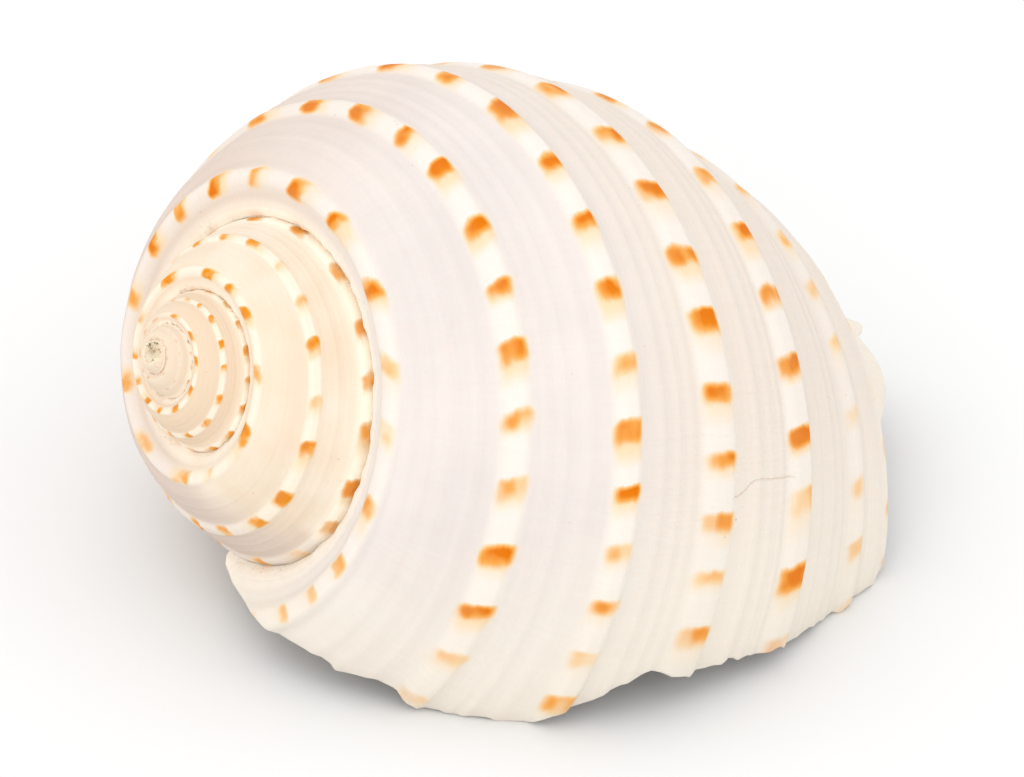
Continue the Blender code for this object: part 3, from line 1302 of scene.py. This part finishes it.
@dataclass(frozen=True)
class ShellFinish:
    """What the shell's material looks like. Colours are hexadecimal screen colours."""

    partner_at: float
    rib_white: str = "E1D9D1"
    space_pink: str = "DBD2CC"
    space_grey: str = "D6CDC8"
    neck_cream: str = "D9CEC3"
    spire_cream: str = "E7DBCB"
    spire_tan: str = "DFCCB5"
    spire_rib: str = "E8DDCC"
    spire_old: str = "D9C2A8"
    # Warm tint of painted shade, multiplied into the upper body.
    upper_shade_tint: str = "F5EBE2"
    # Pale cream that also paints light into the hollows by the seams.
    seam_pale_painted_light: str = "F9EFE0"
    crumb: str = "E8DCC0"
    lip_cream: str = "E0D8CB"
    tip_cream: str = "DAC9B3"
    edge_white: str = "FBF3E6"
    mark_deep: str = "D26E00"
    mark_orange: str = "D87E0C"
    mark_gold: str = "E29E4C"
    mark_pale: str = "E2C8A2"
    mark_rust: str = "D0803C"
    mark_honey: str = "DE9424"
    inside_white: str = "DDD8D2"
    inside_cream: str = "DFCDB2"
    glaze_yellow: str = "E6D2AC"
    grime: str = "8A6236"
    stain: str = "C79B68"
    roughness: float = 0.42
    inside_roughness: float = 0.22
    specular: float = 0.05
    glow: float = 0.12
    glow_depth: float = 0.0015
    glow_reach: tuple[float, float, float] = (1.0, 0.6, 0.4)
    crack_depth: float = 0.05
    pit_at: tuple[float, float, float] = (-0.03745, 0.00510, 0.02760)
    scar_age: float = -29.3 / TURN
    scar_from: float = 1.36
    scar_to: float = 1.66

    def marks_group(self) -> bpy.types.NodeTree:
        """Make the group that turns the marks and look maps into strengths of colour.

        Returns:
            The group, with the outputs Strength, Tail, Depth and Rust.
        """
        inputs = ("Number", "Across", "Power", "Length", "Turn", "Line", "Side")
        group = new_group("rib_marks", inputs, ("Strength", "Tail", "Depth", "Rust"))
        n = Nodes(group)
        given, result = n.add("NodeGroupInput"), n.add("NodeGroupOutput")
        number, across, power, length, turn, line, side = given.outputs[:7]
        ragged = n.noise(n.join(n.times(turn, 70.0), n.times(line, 17.0)), 1.0, 3.0, 0.55)
        streaks = n.noise(n.join(n.times(turn, 9.0), n.times(line, 120.0)), 1.0, 2.0, 0.6)
        blot = n.noise(n.join(n.times(turn, 60.0), n.times(line, 16.0), 7.0), 1.0, 1.0, 0.5)
        shift = n.times(n.minus(ragged, 0.5), 0.14)
        shift = n.plus(shift, n.times(n.minus(streaks, 0.5), 0.004))
        arch = n.times(n.times(across, across), -0.035)
        moved = n.plus(n.plus(number, shift), arch)
        whole, part = n.math("FLOOR", moved), n.math("FRACT", moved)
        rise = n.ease(part, -0.02, 0.13)
        fall = n.ease(part, n.minus(length, 0.15), n.plus(length, 0.11), 1.0, 0.0)
        soft = n.plus(n.math("ABSOLUTE", across), n.times(n.minus(blot, 0.5), 0.55))
        band = n.ease(soft, 0.45, 1.22, 1.0, 0.0)
        strength = n.times(n.times(rise, fall), n.times(band, power))
        mottle = n.noise(n.join(n.times(turn, 60.0), n.times(line, 11.0), 2.0), 1.0, 1.0, 0.5)
        strength = n.times(strength, n.ease(mottle, 0.34, 0.62, 0.60, 1.20))
        faded = n.ease(side, -1.1, n.scaled(n.random(whole, 7.7), 1.4, -1.0), 0.50, 1.0)
        strength = n.times(strength, faded, clamp=True)
        tail_end = n.plus(length, n.scaled(n.random(whole, 5.3), 0.36, 0.12))
        tail = n.times(rise, n.ease(part, length, tail_end, 1.0, 0.0))
        tail_power = n.times(power, n.ease(n.random(whole, 9.4), 0.0, 0.8, 0.7, 1.6))
        tail = n.times(n.times(tail, band), tail_power, clamp=True)
        depth = n.ease(part, n.times(length, 0.35), n.plus(length, 0.06), 1.0, 0.0)
        left = n.ease(n.scaled(n.random(whole, 3.1), -0.7, side), -0.9, 0.5, 1.0, 0.0)
        rust = n.times(strength, n.ease(n.random(whole, 1.9), 0.15, 0.70, 0.15, 1.0))
        rust = n.times(rust, n.times(n.ease(streaks, 0.25, 0.75, 0.8, 1.0), left))
        for socket, value in zip(result.inputs, (strength, tail, depth, rust)):
            n.feed(socket, value)
        return group

    def growth_group(self) -> bpy.types.NodeTree:
        """Make the group for fine spiral hairs and former lips, as heights in millimetres.

        Returns:
            The group, with the outputs Height and Lines.
        """
        group = new_group("growth_lines", ("Turn", "Line", "Rough"), ("Height", "Lines"))
        n = Nodes(group)
        given, result = n.add("NodeGroupInput"), n.add("NodeGroupOutput")
        turn, line, rough = given.outputs[:3]
        slanted = n.scaled(line, 0.012, turn)
        fine = n.noise(n.join(n.times(slanted, 430.0), n.times(line, 4.0)), 1.0, 3.0, 0.65)
        broad = n.noise(n.join(n.times(slanted, 75.0), n.times(line, 1.6), 4.0), 1.0, 2.0, 0.5)
        hair = n.noise(n.join(n.times(turn, 4.0), n.times(line, 105.0), 9.0), 1.0, 3.0, 0.6)
        wide = n.noise(n.join(n.times(turn, 1.6), n.times(line, 30.0), 2.0), 1.0, 1.0, 0.5)
        lines = n.plus(n.times(fine, 0.45), n.times(wide, 0.55))
        height = n.times(fine, n.scaled(rough, 0.10, 0.026))
        height = n.plus(height, n.times(broad, n.scaled(rough, 0.22, 0.055)))
        height = n.plus(height, n.times(hair, 0.020))
        height = n.plus(height, n.times(wide, 0.070))
        n.feed(result.inputs[0], height)
        n.feed(result.inputs[1], lines)
        return group

    def material(self) -> bpy.types.Material:
        """Make the material of the whole shell, outside and inside.

        Returns:
            The material.
        """
        material, shader = new_material("tun_shell")
        n = Nodes(material.node_tree)
        skin = SkinMaps.read(n, self.partner_at)
        place = {"Turn": skin.turn, "Line": skin.line}
        look = {"Number": skin.number, "Across": skin.across, "Power": skin.power}
        marks = n.insert(self.marks_group(), place | look | {"Length": skin.length, "Side": skin.side})
        growth = n.insert(self.growth_group(), place | {"Rough": self.scar_zone(n, skin)})

        base = self.bare_colour(n, skin, growth.outputs["Lines"])
        colour, strong = self.inked_colour(n, skin, marks, base)
        colour = self.seam_colour(n, skin, colour)
        colour, dirt = self.pit_colour(n, skin, colour, self.seam_dirt(n, skin))
        crack = self.crack(n, skin)
        broken = n.times(crack, n.ease(skin.patches, 0.40, 0.56))
        colour = n.mix(n.times(broken, 0.28), colour, linear(self.stain))
        colour = n.mix(n.times(dirt, 0.62), colour, linear(self.grime))
        inner_edge = n.plus(skin.glaze, n.times(n.minus(skin.patches, 0.5), 0.4))
        inside = n.ease(inner_edge, 0.35, 0.65)
        n.feed(shader.inputs["Base Color"], n.mix(inside, colour, self.inner_colour(n, skin, strong)))

        rough = n.scaled(n.ease(skin.clouds, 0.3, 0.7), 0.14, self.roughness)
        rough = n.plus(rough, n.times(dirt, 0.35))
        rough = n.scaled(inside, self.inside_roughness - self.roughness, rough)
        n.feed(shader.inputs["Roughness"], rough)
        shader.inputs["Specular IOR Level"].default_value = self.specular
        shader.inputs["Subsurface Weight"].default_value = self.glow
        shader.inputs["Subsurface Scale"].default_value = self.glow_depth
        shader.inputs["Subsurface Radius"].default_value = self.glow_reach

        size = n.math("POWER", Coil.growth, n.math("MAXIMUM", skin.turn, -4.0))
        height = n.times(growth.outputs["Height"], size)
        height = n.times(height, n.scaled(inside, -0.8, 1.0))
        height = n.plus(height, n.times(n.noise(skin.place, 1500.0, 2.0, 0.5), 0.006))
        height = n.plus(height, n.times(crack, -self.crack_depth))
        bump = n.add("ShaderNodeBump")
        bump.inputs["Strength"].default_value = 1.0
        bump.inputs["Distance"].default_value = MILLIMETRE
        n.feed(bump.inputs["Height"], height)
        n.feed(shader.inputs["Normal"], bump.outputs[0])
        return material

    def scar_zone(self, n: Nodes, skin: SkinMaps) -> Socket:
        """Mask the rougher growth round the crack.

        Args:
            n: The material's nodes.
            skin: What the material reads.

        Returns:
            A mask from 0 to 1.
        """
        near = n.ease(n.math("ABSOLUTE", n.minus(skin.age, self.scar_age - 0.015)), 0.01, 0.05, 1.0, 0.0)
        return n.times(near, n.ease(n.math("ABSOLUTE", n.minus(skin.line, 1.34)), 0.25, 0.40, 1.0, 0.0))

    def bare_colour(self, n: Nodes, skin: SkinMaps, growth_lines: Socket) -> Socket:
        """Colour the bare outside: pinkish body, cream spire, pale seams, painted shade and light.

        Args:
            n: The material's nodes.
            skin: What the material reads.
            growth_lines: Faint lines along former lips.

        Returns:
            The colour.
        """
        age, line, on_rib = skin.age, skin.line, skin.on_rib
        space = n.mix(n.ease(skin.clouds, 0.35, 0.65), linear(self.space_pink), linear(self.space_grey))
        space = n.mix(n.ease(line, 0.85, 1.25), space, linear(self.neck_cream))
        # Painted shade: from line 1.2 towards the canal the ribs get less white, darkening the shell's
        # right side.
        body = n.mix(n.times(on_rib, n.ease(line, 1.2, 2.4, 1.0, 0.45)), space, linear(self.rib_white))
        # The shoulder band by the seam is pale, and whitened further as painted light against the shade of
        # its hollow.
        body = n.mix(n.times(n.ease(line, 0.05, 0.30, 1.0, 0.0), 0.6), body, linear(self.rib_white))
        # Painted shade: the upper body, back from the lip, is darkened with a warm tint, less on the ribs.
        upper_shade = n.times(n.ease(age, -0.55, -0.30, 1.0, 0.0), n.scaled(on_rib, -0.6, 1.0))
        body = n.mix(upper_shade, body, linear(self.upper_shade_tint), "MULTIPLY")
        old = n.mix(n.ease(skin.clouds, 0.36, 0.66), linear(self.spire_cream), linear(self.spire_tan))
        old = n.mix(n.ease(age, -1.95, -1.6, 0.9, 0.0), old, linear(self.spire_old))
        old = n.mix(n.times(on_rib, 0.85), old, linear(self.spire_rib))
        base = n.mix(skin.spire, body, old)
        base = n.mix(n.times(n.ease(age, -0.13, -0.01), 0.8), base, linear(self.lip_cream))
        base = n.mix(n.times(skin.tip, 0.8), base, linear(self.tip_cream))
        # Next to the seams the colour is lifted to a light cream: pale colour there, and painted light in
        # the seams' hollows.
        above = n.ease(line, 0.03, 0.12, 0.8, 0.0)
        pale_lit_seam = n.math("MAXIMUM", n.ease(skin.below_seam, 0.02, 0.26, 0.85, 0.0), above)
        base = n.mix(pale_lit_seam, base, linear(self.seam_pale_painted_light))
        lines = n.ease(growth_lines, 0.36, 0.64, 0.98, 1.01)
        return n.mix(1.0, base, n.join(lines, lines, lines), "MULTIPLY")

    def inked_colour(
        self, n: Nodes, skin: SkinMaps, marks: bpy.types.Node, base: Socket
    ) -> tuple[Socket, Socket]:
        """Lay the marks over the bare colour, from their pale tails to their deep middles.

        Args:
            n: The material's nodes.
            skin: What the material reads.
            marks: The group of the marks.
            base: The bare colour.

        Returns:
            The colour, and the strength of the marks.
        """
        kept = n.times(n.minus(1.0, skin.tip), n.ease(skin.age, -0.035, -0.004, 1.0, 0.45))
        tail, strong = n.times(marks.outputs["Tail"], kept), n.times(marks.outputs["Strength"], kept)
        colour = n.mix(n.times(tail, 0.85), base, linear(self.mark_pale))
        colour = n.mix(n.ease(strong, 0.0, 0.22), colour, linear(self.mark_pale))
        colour = n.mix(n.ease(strong, 0.10, 0.56), colour, linear(self.mark_gold))
        ink = n.mix(marks.outputs["Depth"], linear(self.mark_orange), linear(self.mark_deep))
        ink = n.mix(n.times(skin.spire, 0.6), ink, linear(self.mark_honey))
        colour = n.mix(n.ease(strong, 0.44, 0.96), colour, ink)
        return n.mix(n.times(marks.outputs["Rust"], 0.85), colour, linear(self.mark_rust)), strong

    def seam_colour(self, n: Nodes, skin: SkinMaps, colour: Socket) -> Socket:
        """Stain the seams brown and whiten their thin edge.

        Args:
            n: The material's nodes.
            skin: What the material reads.
            colour: The colour so far.

        Returns:
            The new colour.
        """
        near = n.math("MINIMUM", skin.below_seam, n.plus(skin.line, 0.02))
        stain = n.times(n.ease(near, 0.0, 0.17, 1.0, 0.0), n.ease(skin.patches, 0.36, 0.62))
        stain = n.times(n.times(stain, skin.worn), n.ease(skin.age, -0.75, -0.35, 1.0, 0.1))
        colour = n.mix(n.times(stain, 0.50), colour, linear(self.stain))
        edge = n.ease(n.math("ABSOLUTE", n.minus(skin.line, 0.014)), 0.004, 0.016, 1.0, 0.0)
        edge = n.times(edge, n.ease(skin.turn, turns_before(1.9), turns_before(1.4)))
        return n.mix(n.times(edge, 0.75), colour, linear(self.edge_white))

    def seam_dirt(self, n: Nodes, skin: SkinMaps) -> Socket:
        """Mask the dirt caught along the seams and the few specks elsewhere.

        Args:
            n: The material's nodes.
            skin: What the material reads.

        Returns:
            A mask from 0 to 1.
        """
        close = n.ease(skin.below_seam, 0.0, 0.100, 1.0, 0.0)
        close = n.math("MAXIMUM", close, n.times(n.ease(skin.line, 0.0, 0.11, 1.0, 0.0), 0.8))
        dirt = n.times(n.times(close, n.ease(skin.specks, 0.50, 0.64)), n.ease(skin.clumps, 0.47, 0.62))
        dirt = n.times(dirt, skin.worn)
        spots = n.ease(n.noise(skin.place, 3000.0, 0.0, 0.4), 0.83, 0.86)
        scattered = n.times(spots, n.ease(skin.patches, 0.52, 0.62))
        return n.math("MAXIMUM", dirt, n.times(scattered, 0.5))

    def pit_colour(
        self, n: Nodes, skin: SkinMaps, colour: Socket, dirt: Socket
    ) -> tuple[Socket, Socket]:
        """Fill the worn tip with pale crumbs and some dirt.

        Args:
            n: The material's nodes.
            skin: What the material reads.
            colour: The colour so far.
            dirt: The mask of the dirt so far.

        Returns:
            The new colour and the new mask.
        """
        off = n.add("ShaderNodeVectorMath", operation="DISTANCE")
        n.feed(off.inputs[0], skin.place)
        off.inputs[1].default_value = self.pit_at
        uneven = n.minus(n.noise(skin.place, 1100.0, 3.0, 0.6), 0.5)
        worn = n.scaled(uneven, 0.0011, off.outputs["Value"])
        pit = n.ease(worn, 0.00080, 0.00115, 1.0, 0.0)
        colour = n.mix(n.times(pit, 0.85), colour, linear(self.crumb))
        dark = n.times(n.ease(worn, 0.0003, 0.0010, 0.9, 0.2), n.ease(skin.clumps, 0.40, 0.60))
        return colour, n.math("MAXIMUM", dirt, n.times(pit, dark))

    def crack(self, n: Nodes, skin: SkinMaps) -> Socket:
        """Mask the thin crack between the fourth and fifth ribs.

        Args:
            n: The material's nodes.
            skin: What the material reads.

        Returns:
            A mask from 0 to 1.
        """
        line, first, last = skin.line, self.scar_from, self.scar_to
        bends = n.noise(n.join(n.times(line, 9.0), 3.0), 1.0, 2.0, 0.5)
        wander = n.scaled(n.minus(bends, 0.5), 0.006, n.ease(line, 1.38, 1.47, -0.005, 0.0))
        off = n.math("ABSOLUTE", n.minus(n.plus(skin.age, wander), self.scar_age))
        begun = n.ease(line, first - 0.02, first + 0.02)
        within = n.times(begun, n.ease(line, last - 0.03, last + 0.01, 1.0, 0.0))
        return n.times(n.ease(off, 0.0001, 0.0005, 1.0, 0.0), within)

    def inner_colour(self, n: Nodes, skin: SkinMaps, strong: Socket) -> Socket:
        """Colour the glazed inside, where the marks show faintly through.

        Args:
            n: The material's nodes.
            skin: What the material reads.
            strong: Strength of the marks outside.

        Returns:
            The colour.
        """
        inner = n.mix(n.ease(skin.clouds, 0.3, 0.7), linear(self.inside_white), linear(self.inside_cream))
        inner = n.mix(n.times(n.times(strong, skin.on_rib), 0.18), inner, linear(self.mark_orange))
        return n.mix(n.times(n.ease(skin.line, 2.55, 2.9), 0.8), inner, linear(self.glaze_yellow))


@dataclass
class SandGrains:
    """Sand and dirt caught in the tip's pit and along the seams of the spire.

    Attributes:
        coil: The coil that the grains lie on.
        pit_count: Grains in the pit.
        pit_radius: How far from its middle they lie, in metres.
        seam_count: Places tried along the seams.
        smallest: Radius of the smallest grain, in metres.
        largest: Radius of the largest grain, in metres.
        pit_turns: Turns behind the lip between which the pit's grains lie.
        seam_turns: Turns behind the lip between which the seams' grains lie.
        off_seam: How far in and out from the seam, in shell units.
        above_seam: How far above the seam, and how much that varies, in shell units.
        seed: Picks the grains.
        colours: Screen colours of dark, light and nearly black grains.
    """

    coil: Coil
    pit_count: int = 40
    pit_radius: float = 0.0009
    seam_count: int = 150
    smallest: float = 0.00005
    largest: float = 0.00014
    pit_turns: tuple[float, float] = (4.1, 5.0)
    seam_turns: tuple[float, float] = (0.35, 4.1)
    off_seam: tuple[float, float] = (-0.004, 0.014)
    above_seam: float = 0.006
    seed: int = 12
    colours: tuple[str, str, str] = ("A5906C", "DCCFB2", "66563F")

    def places(self, rng: np.random.Generator) -> list[tuple[Array, float]]:
        """Choose where grains lie and how big they are.

        Args:
            rng: The random numbers.

        Returns:
            Pairs of a point in the row's frame and a radius in metres.
        """
        found = []
        while len(found) < self.pit_count:
            where = np.array([self.coil.seam_lip - TURN * rng.uniform(*self.pit_turns)])
            radius, depth, _ = self.coil.value(np.array([rng.uniform(0.0, self.coil.partner_at)]))[0]
            spot = self.coil.place(where, np.array([radius]), np.array([depth]))[0]
            if np.linalg.norm(spot - np.array(ShellFinish.pit_at)) < self.pit_radius:
                found.append((spot, rng.uniform(self.smallest, self.largest)))
        seam = self.coil.value(np.array([0.0]))[0]
        for _ in range(self.seam_count):
            angle = np.array([self.coil.seam_lip - TURN * rng.uniform(*self.seam_turns)])
            clump = math.sin(angle[0] * 0.11) + math.sin(angle[0] * 0.037 + 1)
            if clump < rng.uniform(-1.2, 1.2):
                continue
            radius = seam[0] + rng.uniform(*self.off_seam)
            depth = seam[1] - self.above_seam + rng.uniform(-self.above_seam, self.above_seam)
            spot = self.coil.place(angle, np.array([radius]), np.array([depth]))
            size = rng.uniform(0.5, 0.8) + rng.uniform(0.0, 0.4)
            found.append((spot[0], size * self.smallest))
        return found

    def build(self) -> bpy.types.Object:
        """Make all the grains as one object.

        Returns:
            The finished object.
        """
        rng = np.random.default_rng(self.seed)
        bpy.ops.object.select_all(action="DESELECT")
        bpy.ops.mesh.primitive_ico_sphere_add(subdivisions=1, radius=1.0)
        pebble = bpy.context.active_object
        pebble.name = Piece.GRAINS.value
        work = bmesh.new()
        shape = bmesh.new()
        shape.from_mesh(pebble.data)
        corners = np.array([vertex.co for vertex in shape.verts])
        sides = [[vertex.index for vertex in face.verts] for face in shape.faces]
        shades = work.verts.layers.float.new("shade")
        for spot, radius in self.places(rng):
            stretch = rng.uniform(0.6, 1.25, 3)
            uneven = rng.uniform(0.8, 1.15, (len(corners), 1))
            turn = np.array(Euler(rng.uniform(0, math.pi, 3)).to_matrix())
            shade = float(rng.uniform(0.0, 1.0))
            verts = []
            for point in (corners * uneven * stretch) @ turn.T * radius + spot:
                vertex = work.verts.new(point)
                vertex[shades] = shade
                verts.append(vertex)
            for side in sides:
                work.faces.new([verts[i] for i in side])
        shape.free()
        work.to_mesh(pebble.data)
        work.free()
        pebble.data.shade_flat()
        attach(pebble, "root")
        return pebble

    def material(self) -> bpy.types.Material:
        """Make the grains' material: each grain has its own shade.

        Returns:
            The material.
        """
        material, shader = new_material("sand")
        n = Nodes(material.node_tree)
        shade = n.add("ShaderNodeAttribute", attribute_name="shade").outputs["Fac"]
        place = n.add("ShaderNodeTexCoord").outputs["Object"]
        dark, light, black = (linear(code) for code in self.colours)
        colour = n.mix(n.ease(shade, 0.3, 0.8), dark, light)
        colour = n.mix(n.ease(shade, 0.25, 0.15), colour, black)
        colour = n.mix(n.times(n.noise(place, 5000.0), 0.3), colour, dark)
        n.feed(shader.inputs["Base Color"], colour)
        shader.inputs["Roughness"].default_value = 0.75
        return material


@dataclass
class Studio:
    """The floor, the light and the camera."""

    floor_size: float = 12.0
    floor_colour: str = "E4E4E4"
    sky_strength: float = 1.18
    key_power: float = 7.0
    key_size: float = 2.4
    key_at: tuple[float, float, float] = (-1.2, 0.2, 1.5)
    left_fill_power: float = 7.5
    left_fill_at: tuple[float, float, float] = (-1.1, -1.2, 0.4)
    right_fill_power: float = 2.4
    right_fill_at: tuple[float, float, float] = (1.2, -1.0, 0.6)
    fill_size: float = 1.5
    camera_at: tuple[float, float, float] = (-0.4529, -0.6294, 0.5558)
    camera_turn: tuple[float, float, float] = (54.983, -4.638, -32.330)
    focal_px: float = 10730.0

    def add_floor(self) -> bpy.types.Object:
        """Make the pale floor.

        Returns:
            The floor.
        """
        bpy.ops.object.select_all(action="DESELECT")
        bpy.ops.mesh.primitive_plane_add(size=self.floor_size)
        floor = bpy.context.active_object
        floor.name = Piece.FLOOR.value
        material, shader = new_material("pale_floor")
        shader.inputs["Base Color"].default_value = linear(self.floor_colour)
        shader.inputs["Roughness"].default_value = 0.9
        shader.inputs["Specular IOR Level"].default_value = 0.1
        floor.data.materials.append(material)
        return floor

    def add_light(self, name: str, power: float, size: float, at: tuple[float, float, float]) -> None:
        """Add one soft light that points at the shell.

        Args:
            name: Name of the light.
            power: Its power in watts.
            size: Its side in metres.
            at: Where it hangs.
        """
        lamp = bpy.data.lights.new(name, "AREA")
        lamp.energy, lamp.size = power, size
        light = bpy.data.objects.new(name, lamp)
        light.location = at
        towards = Vector(LIGHTS_AIM) - Vector(at)
        light.rotation_euler = towards.to_track_quat("-Z", "Y").to_euler()
        bpy.context.scene.collection.objects.link(light)

    def add_sky(self) -> None:
        """Light everything evenly from all sides."""
        world = bpy.data.worlds.new("studio")
        world.use_nodes = True
        background = world.node_tree.nodes["Background"]
        background.inputs["Color"].default_value = (1.0, 1.0, 1.0, 1.0)
        background.inputs["Strength"].default_value = self.sky_strength
        bpy.context.scene.world = world

    def add_camera(self) -> bpy.types.Object:
        """Put the camera where the photograph was taken.

        Returns:
            The camera.
        """
        lens = bpy.data.cameras.new("camera")
        lens.sensor_width = SENSOR_MM
        lens.lens = self.focal_px / IMAGE_WIDTH * SENSOR_MM
        lens.clip_end = 50.0
        camera = bpy.data.objects.new("camera", lens)
        camera.location = self.camera_at
        camera.rotation_euler = [math.radians(value) for value in self.camera_turn]
        bpy.context.scene.collection.objects.link(camera)
        bpy.context.scene.camera = camera
        return camera

    def build(self) -> None:
        """Make the whole studio."""
        self.add_camera()
        self.add_floor()
        self.add_sky()
        self.add_light("key", self.key_power, self.key_size, self.key_at)
        self.add_light("left_fill", self.left_fill_power, self.fill_size, self.left_fill_at)
        self.add_light("right_fill", self.right_fill_power, self.fill_size, self.right_fill_at)
        bpy.context.scene.view_settings.view_transform = "Standard"


MARK_ROWS = (
    MarkRow(first=-22.2, seed=19644, look_seed=8125, spread=1.45, unevenness=0.4, lean=1.2, narrowing=0.8),
    MarkRow(first=-34.4, seed=17290, look_seed=55812, lean=-1.2),
    MarkRow(first=-36.4, seed=14330, look_seed=97692, lean=-0.8),
    MarkRow(first=-50.9, seed=18058, look_seed=32611, lean=-0.3, halved=0.6),
    MarkRow(first=-47.6, seed=3582, look_seed=54158, lean=-0.8),
    MarkRow(first=-60.5, seed=20656, look_seed=22, lean=-1.0, power=0.42),
    MarkRow(first=-66.0, seed=21, look_seed=23, power=0.3),
    MarkRow(first=-70.0, seed=22, look_seed=24, power=0.2),
)


def main() -> None:
    """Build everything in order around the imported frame."""
    logging.basicConfig(level=logging.INFO, format="%(name)s: %(message)s")
    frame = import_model()
    LOG.info("frame nodes: %s", sorted(frame["nodes"]))
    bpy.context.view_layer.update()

    studio = Studio()
    studio.build()

    coil = Coil()
    skin = ShellSkin(coil, Relief(coil), MARK_ROWS).build()
    finish = ShellFinish(partner_at=coil.partner_at)
    skin.data.materials.append(finish.material())

    grains = SandGrains(coil)
    grains.build().data.materials.append(grains.material())

    LOG.info("built")


if __name__ == "__main__":
    main()
